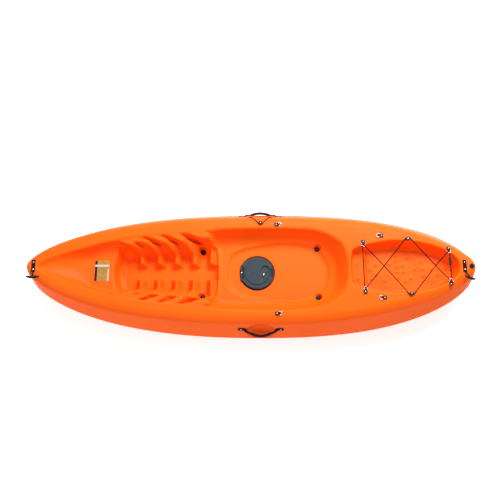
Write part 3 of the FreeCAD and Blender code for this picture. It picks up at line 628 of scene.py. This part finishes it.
class Nodes:
    """A short way to write a node material: each call adds a node and returns its output."""

    def __init__(self, name, colour, roughness, **settings):
        self.material = bpy.data.materials.new(name)
        self.material.use_nodes = True
        self.tree = self.material.node_tree
        self.shader = self.tree.nodes["Principled BSDF"]
        self.shader.inputs["Base Color"].default_value = (*colour, 1.0)
        self.shader.inputs["Roughness"].default_value = roughness
        for key, value in settings.items():
            self.shader.inputs[key.replace("_", " ")].default_value = value
        self.place = self.add("ShaderNodeTexCoord").outputs["Object"]

    def add(self, kind, links=(), **values):
        node = self.tree.nodes.new(kind)
        for key, value in values.items():
            if hasattr(node, key):
                setattr(node, key, value)
        for key, value in values.items():
            if not hasattr(node, key):
                node.inputs[key.replace("_", " ")].default_value = value
        for socket, output in links:
            self.tree.links.new(output, node.inputs[socket])
        return node

    def noise(self, scale, detail=2.0, place=None):
        place = place or self.place
        node = self.add("ShaderNodeTexNoise", [("Vector", place)], Scale=scale, Detail=detail)
        return node.outputs["Fac"]

    def spots(self, scale):
        node = self.add("ShaderNodeTexVoronoi", [("Vector", self.place)], Scale=scale)
        return node.outputs["Distance"]

    def wave(self, scale, axis):
        node = self.add("ShaderNodeTexWave", [("Vector", self.place)], bands_direction=axis, Scale=scale)
        return node.outputs["Fac"]

    def stretch(self, scale):
        return self.add("ShaderNodeMapping", [("Vector", self.place)], Scale=scale).outputs["Vector"]

    def remap(self, source, low, high, to_low=0.0, to_high=1.0):
        node = self.add("ShaderNodeMapRange", [("Value", source)])
        for key, value in (("From Min", low), ("From Max", high), ("To Min", to_low), ("To Max", to_high)):
            node.inputs[key].default_value = value
        return node.outputs["Result"]

    def math(self, operation, a, b=0.5):
        node = self.add("ShaderNodeMath", operation=operation)
        for socket, value in zip(node.inputs, (a, b)):
            if isinstance(value, (int, float)):
                socket.default_value = value
            else:
                self.tree.links.new(value, socket)
        return node.outputs["Value"]

    def mix(self, share, a, b):
        node = self.add("ShaderNodeMix", data_type="RGBA")
        for index, value in ((0, share), (6, a), (7, b)):
            if isinstance(value, (int, float)):
                node.inputs[index].default_value = value
            elif isinstance(value, tuple):
                node.inputs[index].default_value = (*value, 1.0)
            else:
                self.tree.links.new(value, node.inputs[index])
        return node.outputs[2]

    def colour(self, source):
        self.tree.links.new(source, self.shader.inputs["Base Color"])

    def rough(self, source):
        self.tree.links.new(source, self.shader.inputs["Roughness"])

    def bump(self, source, strength, distance, normal=None):
        links = [("Height", source)] + ([("Normal", normal)] if normal else [])
        node = self.add("ShaderNodeBump", links, Strength=strength, Distance=distance)
        self.tree.links.new(node.outputs["Normal"], self.shader.inputs["Normal"])
        return node.outputs["Normal"]


def hull_plastic():
    """Rotationally moulded polyethylene: a pebbled, slightly wavy skin with faint clouds of colour."""
    n = Nodes("hull_plastic", HULL_ORANGE, 0.45, Specular_IOR_Level=0.09)
    cloud = n.remap(n.noise(3.5, 3.0), 0.3, 0.7)
    n.colour(n.mix(cloud, HULL_ORANGE, HULL_ORANGE_DEEP))
    n.rough(n.remap(n.noise(60.0, 4.0), 0.3, 0.7, 0.38, 0.52))
    fine = n.bump(n.noise(900.0, 2.0), 0.10, 0.0006)
    n.bump(n.noise(22.0, 2.0), 0.25, 0.0016, fine)
    return n.material


def moulded_plastic(name, colour, lighter, roughness):
    """Injection-moulded plastic with a fine spark-eroded texture."""
    n = Nodes(name, colour, roughness, Specular_IOR_Level=0.2)
    n.colour(n.mix(n.remap(n.noise(45.0, 4.0), 0.35, 0.65), colour, lighter))
    n.rough(n.remap(n.noise(120.0, 3.0), 0.3, 0.7, roughness - 0.06, roughness + 0.08))
    n.bump(n.spots(1500.0), 0.25, 0.0002)
    return n.material


def steel():
    """Polished stainless steel with a fine grain."""
    n = Nodes("stainless_steel", (0.72, 0.72, 0.73), 0.22, Metallic=1.0)
    grain = n.noise(700.0, 2.0, place=n.stretch((1.0, 1.0, 0.08)))
    n.rough(n.remap(grain, 0.3, 0.7, 0.16, 0.34))
    n.bump(grain, 0.08, 0.0001)
    return n.material


def rubber(name, colour, lighter):
    """Matt rubber with a fine pebble."""
    n = Nodes(name, colour, 0.6, Specular_IOR_Level=0.2)
    n.colour(n.mix(n.remap(n.noise(90.0, 4.0), 0.35, 0.65), colour, lighter))
    n.rough(n.remap(n.noise(200.0, 3.0), 0.3, 0.7, 0.5, 0.72))
    n.bump(n.noise(1100.0, 3.0), 0.2, 0.0002)
    return n.material


def woven(name, colour, lighter, scale):
    """A woven or braided sheath: threads crossing at an angle."""
    n = Nodes(name, colour, 0.85, Sheen_Weight=0.04, Specular_IOR_Level=0.1)
    warp, weft = n.wave(scale, "DIAGONAL"), n.wave(scale, "Z")
    weave = n.math("MULTIPLY", warp, weft)
    n.colour(n.mix(weave, colour, lighter))
    n.bump(weave, 0.6, 0.0004)
    return n.material


def label_film():
    """A plain printed plate: a gold field, dark and pale bands, and no lettering."""
    n = Nodes("label_film", (0.36, 0.2, 0.05), 0.35, Specular_IOR_Level=0.2)
    low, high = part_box("label_plate")
    place = n.add("ShaderNodeSeparateXYZ", [("Vector", n.place)]).outputs
    u = n.remap(place["X"], low[0], high[0])
    v = n.remap(place["Y"], low[1], high[1])
    gold = n.mix(n.remap(n.noise(60.0, 3.0), 0.35, 0.65), (0.34, 0.18, 0.040), (0.42, 0.24, 0.065))
    edge = n.math("LESS_THAN", u, 0.16)
    band = n.math("MULTIPLY", n.math("GREATER_THAN", v, 0.7), n.math("LESS_THAN", v, 0.8))
    strip = n.math("MULTIPLY", n.math("GREATER_THAN", u, 0.9), n.math("LESS_THAN", v, 0.6))
    field = n.mix(edge, gold, (0.02, 0.012, 0.03))
    field = n.mix(strip, field, (0.5, 0.47, 0.42))
    n.colour(n.mix(band, field, (0.52, 0.5, 0.46)))
    n.bump(n.noise(300.0, 2.0), 0.05, 0.0002)
    return n.material


HULL_ORANGE = (1.0, 0.123, 0.005)
HULL_ORANGE_DEEP = (0.98, 0.111, 0.003)

MATERIALS = {
    "hull_plastic": hull_plastic(),
    "hatch_plastic": moulded_plastic("hatch_plastic", (0.023, 0.036, 0.047), (0.029, 0.044, 0.056), 0.42),
    "black_plastic": moulded_plastic("black_plastic", (0.004, 0.004, 0.005), (0.008, 0.008, 0.009), 0.38),
    "stainless_steel": steel(),
    "black_rubber": rubber("black_rubber", (0.005, 0.005, 0.006), (0.011, 0.011, 0.012)),
    "bungee_cord": woven("bungee_cord", (0.004, 0.004, 0.005), (0.014, 0.014, 0.016), 260.0),
    "toggle_rope": woven("toggle_rope", (0.006, 0.006, 0.008), (0.018, 0.018, 0.021), 220.0),
    "webbing": woven("webbing", (0.005, 0.005, 0.006), (0.016, 0.016, 0.018), 160.0),
    "grip_rubber": rubber("grip_rubber", (0.006, 0.008, 0.010), (0.011, 0.014, 0.018)),
    "label_film": label_film(),
}


def dress(obj, name):
    """Give every slot of an object one finished material."""
    if not obj.material_slots:
        obj.data.materials.append(MATERIALS[name])
    for place in obj.material_slots:
        place.material = MATERIALS[name]


def new_piece(obj, body, finish, *nodes):
    """Finish a piece, put it on a body and let it stand for the CAD nodes named."""
    dress(obj, finish)
    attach(obj, body)
    if nodes:
        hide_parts(*nodes)
    return obj


# ---------------------------------------------------------------- fittings


def curve_through(points, steps=8):
    """Points along a smooth open line through the given ones."""
    line = np.array([points[0]] + list(points) + [points[-1]], float)
    found = []
    for a, b, c, d in zip(line, line[1:], line[2:], line[3:]):
        for t in np.arange(steps) / steps:
            found.append(spline_point(a, b, c, d, t))
    return np.array(found + [line[-1]])


def mesh_piece(name, rings, body, finish, *nodes):
    """A skin over rings of points in millimetres, capped at both ends, with its hard edges kept."""
    count = len(rings[0])
    points = [tuple(c * MM for c in p) for ring in rings for p in ring]
    faces = []
    for i in range(len(rings) - 1):
        for j in range(count):
            k = (j + 1) % count
            faces.append((i * count + j, i * count + k, (i + 1) * count + k, (i + 1) * count + j))
    faces.append(tuple(reversed(range(count))))
    faces.append(tuple(range((len(rings) - 1) * count, len(rings) * count)))
    mesh = bpy.data.meshes.new(name)
    mesh.from_pydata(points, [], faces)
    mesh.validate()
    work = bmesh.new()
    work.from_mesh(mesh)
    bmesh.ops.recalc_face_normals(work, faces=work.faces[:])
    work.to_mesh(mesh)
    work.free()
    mesh.polygons.foreach_set("use_smooth", [True] * len(mesh.polygons))
    mesh.set_sharp_from_angle(angle=math.radians(38.0))
    obj = bpy.data.objects.new(name, mesh)
    bpy.context.scene.collection.objects.link(obj)
    return new_piece(obj, body, finish, *nodes)


def sweep(path, section, up=(0.0, 0.0, 1.0)):
    """Rings of a section carried along a path: section(t) lists (across, up) pairs, t from 0 to 1."""
    rings = []
    last = len(path) - 1
    for i, centre in enumerate(path):
        along = path[min(i + 1, last)] - path[max(i - 1, 0)]
        along = along / np.linalg.norm(along)
        high = np.array(up, float)
        high = high - along * high.dot(along)
        high /= np.linalg.norm(high)
        across = np.cross(along, high)
        rings.append([centre + across * a + high * b for a, b in section(i / last)])
    return rings


def round_section(radius, count=20):
    """A round tube's section."""
    angles = np.linspace(0.0, 2.0 * math.pi, count, endpoint=False)
    return [(radius * math.cos(a), radius * math.sin(a)) for a in angles]


def band_section(half_wide, half_high, ribs=5):
    """A webbing band's section: rounded edges and a few lengthwise ribs of weave."""
    across = np.linspace(-1.0, 1.0, 4 * ribs + 1)
    swell = half_high * (0.86 + 0.14 * np.cos(across * math.pi * ribs)) * (1.0 - 0.75 * across**12)
    upper = [(half_wide * u, h) for u, h in zip(across, swell)]
    lower = [(half_wide * u, -h) for u, h in zip(across[::-1], swell[::-1])]
    return upper + lower


def turned_rings(profile, at, count=40):
    """Rings of a body of revolution about a vertical axis through at: profile lists (radius, height)."""
    angles = np.linspace(0.0, 2.0 * math.pi, count, endpoint=False)
    x, y, z = at
    return [[(x + r * math.cos(a), y + r * math.sin(a), z + h) for a in angles] for r, h in profile]


def box_mm(node):
    """A node's lowest and highest corners in millimetres."""
    return [[c / MM for c in corner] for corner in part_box(node)]


def rotated(u, v, angle):
    """A point in plan turned about the origin."""
    return u * math.cos(angle) - v * math.sin(angle), u * math.sin(angle) + v * math.cos(angle)


def shrunk(ring, share):
    """A ring drawn in towards its middle."""
    middle = np.mean(ring, axis=0)
    return [middle + (p - middle) * share for p in ring]


def make_cord(name, route, radius, body, finish, node):
    """A cord as one smooth line along its route, in place of its CAD node."""
    data = bpy.data.curves.new(name, "CURVE")
    data.dimensions = "3D"
    data.bevel_depth = radius * MM
    data.bevel_resolution = 3
    data.resolution_u = 10
    data.use_fill_caps = True
    spline = data.splines.new("NURBS")
    spline.points.add(len(route) - 1)
    for place, point in zip(spline.points, route):
        place.co = (*(c * MM for c in point), 1.0)
    spline.order_u = 3
    spline.use_endpoint_u = True
    obj = bpy.data.objects.new(name, data)
    bpy.context.scene.collection.objects.link(obj)
    return new_piece(obj, body, finish, node)


# The deck bungee from its clip round both pairs of rings and both buttons, with a point near each
# end of a run.
BUNGEE_ROUTE = (
    (1182, 29, 316.6), (1182, 60, 316.6), (1181, 85.6, 316.6), (1171, 85.6, 316.6), (1152, 65, 316),
    (1092, 0, 314), (970, -152, 316), (948, -178.5, 316.3), (932, -178.5, 316.3), (914, -156, 316),
    (789, 0, 315), (696, 109, 308), (678, 130.6, 306.4), (668, 130.6, 306.4), (668, 104, 306.4),
    (668, 0, 306.4), (668, -104, 306.4), (668, -130.6, 306.4), (678, -130.6, 306.4), (696, -109, 307),
    (789, 0, 309), (914, 156, 315.5), (932, 178.5, 316.3), (948, 178.5, 316.3), (970, 152, 317),
    (1092, 0, 320), (1152, -65, 317.5), (1171, -85.6, 316.6), (1181, -85.6, 316.6), (1182, -60, 316.6),
    (1182, 27, 316.6),
)
BUNGEE_R = 3.1
PARK_R = 2.5


def make_cords():
    """The deck bungee, and the paddle-park cord from the finger pocket's edge round its button and back."""
    make_cord("bungee_cord_deck", BUNGEE_ROUTE, BUNGEE_R, "hull", "bungee_cord", "deck_bungee")
    low, high = box_mm("paddle_bungee")
    middle, inner, outer = (low[0] + high[0]) / 2.0, low[1] + PARK_R, high[1] - PARK_R
    foot, top = low[2] + 1.0, high[2] - PARK_R
    half = (high[0] - low[0]) / 2.0 - 3.0
    first = [
        (middle - half, outer - 2.0, foot + 2.0),
        (middle - 44, 326, top - 5),
        (middle - 14, inner + 6, top),
        (middle - 6, inner, top),
    ]
    route = first + [(2 * middle - x, y, z) for x, y, z in reversed(first)]
    make_cord("bungee_cord_paddle", route, PARK_R, "hull", "bungee_cord", "paddle_bungee")


# A carry handle's screws, the distances past them where its band lies flat, and how it bows out.
HANDLE_Z = 186.0
HANDLE_HALF_SPAN = 118.0
HANDLE_PAD = (17.0, 0.0, -18.0)
TOPSIDE_OUT = (0.911, 0.412)
BAND_LIFT = 2.4
BAND_BELLY = 5.0
BAND_HALF_WIDE = 12.0
BAND_HALF_THICK = 1.6
# The band's share from each end where it starts to gather for the grip, over what share, and by how much.
GATHER_START = 0.17
GATHER_RUN = 0.14
GATHER_NARROWER = 6.4
GATHER_THICKER = 2.4
# Points along the grip, from its middle: along the hull, outwards and up.
GRIP_BOW = ((-57, -15, 8), (-36, -6, 3.5), (0, 0, 0), (36, -6, 3.5), (57, -15, 8))
GRIP_R = 7.9
GRIP_SWELL = 0.5
GRIP_RIM = 0.8


def handle_lines(label, side):
    """The line of a handle's grip, the line of its whole band, and the topside's outward direction."""
    y = float(side_y(np.float64(HANDLE_X), np.float64(HANDLE_Z)))
    out = np.array([0.0, TOPSIDE_OUT[0] * side, TOPSIDE_OUT[1]])
    base = np.array([HANDLE_X, side * y, HANDLE_Z]) + out * BAND_LIFT
    low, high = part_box("handle_grip_" + label)
    axis_y, axis_z = (low[1] + high[1]) / 2.0 / MM, (low[2] + high[2]) / 2.0 / MM
    grip = [np.array((HANDLE_X + dx, axis_y + dy * side, axis_z + dz)) for dx, dy, dz in GRIP_BOW]
    ends = [[base + np.array([s * (HANDLE_HALF_SPAN + d), 0, 0]) for d in HANDLE_PAD] for s in (-1, 1)]
    slack = [e[2] * 0.55 + g * 0.45 + out * BAND_BELLY for e, g in zip(ends, (grip[0], grip[-1]))]
    return grip, ends[0] + [slack[0]] + grip + [slack[1]] + ends[1][::-1], out


def make_handle(label, side):
    """A side handle: one webbing band screwed down at both ends and run through a bowed rubber tube."""
    grip, line, out = handle_lines(label, side)

    def band_at(t):
        gather = smooth((0.5 - abs(t - 0.5) - GATHER_START) / GATHER_RUN)
        wide, thick = BAND_HALF_WIDE - GATHER_NARROWER * gather, BAND_HALF_THICK + GATHER_THICKER * gather
        return band_section(wide, thick)

    band = mesh_piece("handle_band_" + label, sweep(curve_through(line, 7), band_at, out), "hull", "webbing")
    # The band bends between the hull and the handle, so it rides on neither alone.
    band.parent = None
    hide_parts("handle_pads_" + label, "handle_webbing_" + label)
    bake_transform(band)

    def tube_at(t):
        rim = GRIP_RIM if min(t, 1.0 - t) < 0.06 else 0.0
        return round_section(GRIP_R + rim + GRIP_SWELL * math.sin(math.pi * t))

    rings = sweep(curve_through(grip, 9), tube_at)
    rings = [shrunk(rings[0], 0.82)] + rings + [shrunk(rings[-1], 0.82)]
    mesh_piece("handle_tube_" + label, rings, "handle_" + label, "grip_rubber", "handle_grip_" + label)


# An end toggle's strap, grip and cord.
STRAP_HALF = 37.0
STRAP_HALF_WIDE = 11.5
STRAP_HALF_THICK = 1.9
STRAP_CROWN = 1.5
STRAP_EDGE_Y = -36.0
TOGGLE_HALF = {"bow": 41.0, "stern": 33.0}
TOGGLE_TURN = {"bow": 0.0, "stern": math.radians(-20.0)}
TOGGLE_BOW = 5.0
TOGGLE_R = 7.6
TOGGLE_WAVE = 0.1
ROPE_R = 3.6


def toggle_section(t):
    """A toggle's grip: rounded ends and shallow finger waves."""
    blunt = (1.0 - abs(2.0 * t - 1.0) ** 3.2) ** 0.5
    return round_section(TOGGLE_R * blunt * (1.0 + TOGGLE_WAVE * math.cos(6.0 * math.pi * t)) + 0.4)


def make_toggle(label):
    """An end toggle: a curved webbing strap across the deck, a braided cord and a bowed grip."""
    low, high = box_mm("toggle_strap_" + label)
    x, z = (low[0] + high[0]) / 2.0, high[2]
    across = (STRAP_HALF, 20, 0, -20, -STRAP_HALF)
    line = [(x, y, z - STRAP_HALF_THICK - STRAP_CROWN * (y / STRAP_HALF) ** 2) for y in across]
    rings = sweep(curve_through(line, 6), lambda t: band_section(STRAP_HALF_WIDE, STRAP_HALF_THICK))
    mesh_piece("toggle_band_" + label, rings, "hull", "webbing", "toggle_strap_" + label)

    low, high = box_mm("toggle_grip_" + label)
    centre = np.array([(a + b) / 2.0 for a, b in zip(low, high)])
    bar = []
    for u in np.linspace(-1.0, 1.0, 25):
        along = rotated(u * TOGGLE_HALF[label], TOGGLE_BOW * u * u - 2.0, TOGGLE_TURN[label])
        bar.append(centre + np.array([*along, 0]))
    rings = sweep(np.array(bar), toggle_section)
    mesh_piece("toggle_bar_" + label, rings, "toggle_" + label, "grip_rubber", "toggle_grip_" + label)

    start = (x, STRAP_EDGE_Y, z - 0.5)
    finish = tuple(centre + np.array([0.0, 2.0, 0.0]))
    middle = tuple((a + b) / 2.0 + lift for a, b, lift in zip(start, finish, (0, 0, 4.0)))
    route = [start, middle, finish]
    make_cord("toggle_rope_" + label, route, ROPE_R, "toggle_" + label, "toggle_rope", "toggle_cord_" + label)


# Radius and height above the flange's seat, from the stem's foot to the dome's middle.
PLUG_PROFILE = (
    (0.5, -32.0), (9.0, -32.0), (10.2, -30.5), (11.6, -14.0), (12.6, -7.0), (12.6, -5.0), (11.8, -3.0),
    (11.8, 0.0), (14.2, 0.0), (15.0, 0.8), (15.0, 2.2), (14.0, 3.6), (10.5, 4.4), (9.6, 4.0), (9.0, 4.6),
    (8.0, 7.6), (7.0, 8.4), (0.5, 8.4),
)
PLUG_CAP_PROFILE = ((5.8, 8.3), (5.8, 9.0), (5.0, 9.5), (0.4, 9.5))


def make_plug(label, x, y, seat):
    """A rubber scupper plug: a domed flange, a tapered stem with a bead and a grey centre cap."""
    body = "scupper_plug_" + label
    mesh_piece("plug_" + label, turned_rings(PLUG_PROFILE, (x, y, seat)), body, "black_rubber", body)
    cap = turned_rings(PLUG_CAP_PROFILE, (x, y, seat), 28)
    mesh_piece("plug_cap_" + label, cap, body, "hatch_plastic")


# The parting bead's radius, how far it sinks into the hull, and how far from the ends it stops.
PARTING_BEAD_R = 2.2
PARTING_SINK = 1.6
PARTING_STOP = 22.0


def make_parting_line():
    """The low bead where the two halves of the mould met, along the widest line of the hull."""
    for label, side in (("port", -1), ("starboard", 1)):
        reach = np.sin(np.linspace(-1.0, 1.0, 121) * math.pi / 2.0) * (LENGTH / 2.0 - PARTING_STOP)
        path = np.array([(x, side * (half_beam(x) - PARTING_SINK), parting_z(x)) for x in reach])
        rings = sweep(path, lambda t: round_section(PARTING_BEAD_R, 8))
        mesh_piece("parting_line_" + label, rings, "hull", "hull_plastic")


# The hatch's turn lever: its axis, how far it is turned from straight across, and its blade.
KNOB_X = 86.0
KNOB_TURN = math.radians(-35.0)
BLADE_HALF_WIDE = 7.5
BLADE_HALF_LONG = 25.0
BLADE_WAIST = 0.22
# Height below the blade's top, and how far the outline draws in there.
BLADE_SHOULDERS = ((-1.2, 0.0), (-0.3, 0.5), (0.0, 1.6))


def blade_ring(inset, z, share=(1.0, 1.0), along=0.0):
    """The lever's waisted outline at one height, drawn in by inset, scaled and moved along the lever."""
    ring = []
    for a in np.linspace(0.0, 2.0 * math.pi, 36, endpoint=False):
        u, v = (BLADE_HALF_WIDE - inset) * math.cos(a), (BLADE_HALF_LONG - inset) * math.sin(a)
        u *= 1.0 - BLADE_WAIST * math.cos(math.pi * v / BLADE_HALF_LONG)
        dx, dy = rotated(u * share[0], v * share[1] + along, KNOB_TURN)
        ring.append((KNOB_X + dx, dy, z))
    return ring


def make_knob():
    """The hatch's turn lever: a waisted blade with rounded shoulders in its dish, and a bright tip."""
    top = box_mm("hatch_knob")[1][2]
    blade = [blade_ring(inset, top + h - 0.5) for h, inset in ((-16.0, 0.0),) + BLADE_SHOULDERS]
    mesh_piece("knob_blade", blade, "hatch_knob", "hatch_plastic", "hatch_knob")
    tip = [blade_ring(inset, top + h, (0.55, 0.3), -16.0) for h, inset in ((-2.0, 0.0),) + BLADE_SHOULDERS]
    mesh_piece("knob_tip", tip, "hatch_knob", "stainless_steel")


for part in frame["record"]["subparts"]:
    dress(frame["nodes"][part["node"]], part["material_slot"])

new_piece(make_hull(), "hull", "hull_plastic", "hull_shell")
make_cords()
for label, side in (("port", -1), ("starboard", 1)):
    make_handle(label, side)
    for place, (x, y, floor) in zip(("fore", "aft"), SCUPPERS):
        make_plug(place + "_" + label, x, side * y, floor - PLUG_DEPTH)
for label in ("bow", "stern"):
    make_toggle(label)
make_parting_line()
make_knob()


# ---------------------------------------------------------------- floor, lights and camera

CAMERA_DISTANCE = 4.5
CAMERA_ELEVATION = math.radians(75.0)
CAMERA_TILT_UP = math.radians(2.39)
LENS = 51.0
CAMERA_X = -0.0064
FLOOR_HALF = 30.0
FLOOR_WHITE = (0.74, 0.74, 0.74)
WORLD_STRENGTH = 0.46


def make_floor():
    mesh = bpy.data.meshes.new("floor")
    half = FLOOR_HALF
    corners = [(-half, -half, 0), (half, -half, 0), (half, half, 0), (-half, half, 0)]
    mesh.from_pydata(corners, [], [(0, 1, 2, 3)])
    obj = bpy.data.objects.new("floor", mesh)
    bpy.context.scene.collection.objects.link(obj)
    glow = {"Emission_Color": (1.0, 1.0, 1.0, 1.0), "Emission_Strength": 0.6}
    n = Nodes("floor_white", FLOOR_WHITE, 0.9, **glow)
    n.colour(n.mix(n.noise(2.0), FLOOR_WHITE, (0.76, 0.76, 0.76)))
    obj.data.materials.append(n.material)
    obj.location.z = -0.0005


def area_light(name, at, size, power, target=(0.0, 0.0, 0.0)):
    data = bpy.data.lights.new(name, "AREA")
    data.shape = "RECTANGLE"
    data.size, data.size_y = size
    data.energy = power
    obj = bpy.data.objects.new(name, data)
    obj.location = at
    obj.rotation_euler = (Vector(target) - Vector(at)).to_track_quat("-Z", "Y").to_euler()
    bpy.context.scene.collection.objects.link(obj)


def make_world():
    world = bpy.data.worlds.new("studio")
    bpy.context.scene.world = world
    world.use_nodes = True
    world.node_tree.nodes["Background"].inputs["Color"].default_value = (1.0, 1.0, 1.0, 1.0)
    world.node_tree.nodes["Background"].inputs["Strength"].default_value = WORLD_STRENGTH


def make_camera():
    data = bpy.data.cameras.new("camera")
    data.lens = LENS
    data.sensor_width = 36.0
    obj = bpy.data.objects.new("camera", data)
    cosine, sine = math.cos(CAMERA_ELEVATION), math.sin(CAMERA_ELEVATION)
    obj.location = (CAMERA_X, -CAMERA_DISTANCE * cosine, CAMERA_DISTANCE * sine)
    obj.rotation_euler = (math.pi / 2.0 - CAMERA_ELEVATION + CAMERA_TILT_UP, 0.0, 0.0)
    bpy.context.scene.collection.objects.link(obj)
    bpy.context.scene.camera = obj


make_floor()
make_world()
area_light("key", (1.2, 2.6, 3.6), (3.0, 1.6), 300.0)
area_light("fill", (-1.5, -3.0, 3.0), (3.0, 2.0), 38.0)
make_camera()
bpy.context.scene.view_settings.view_transform = "Standard"
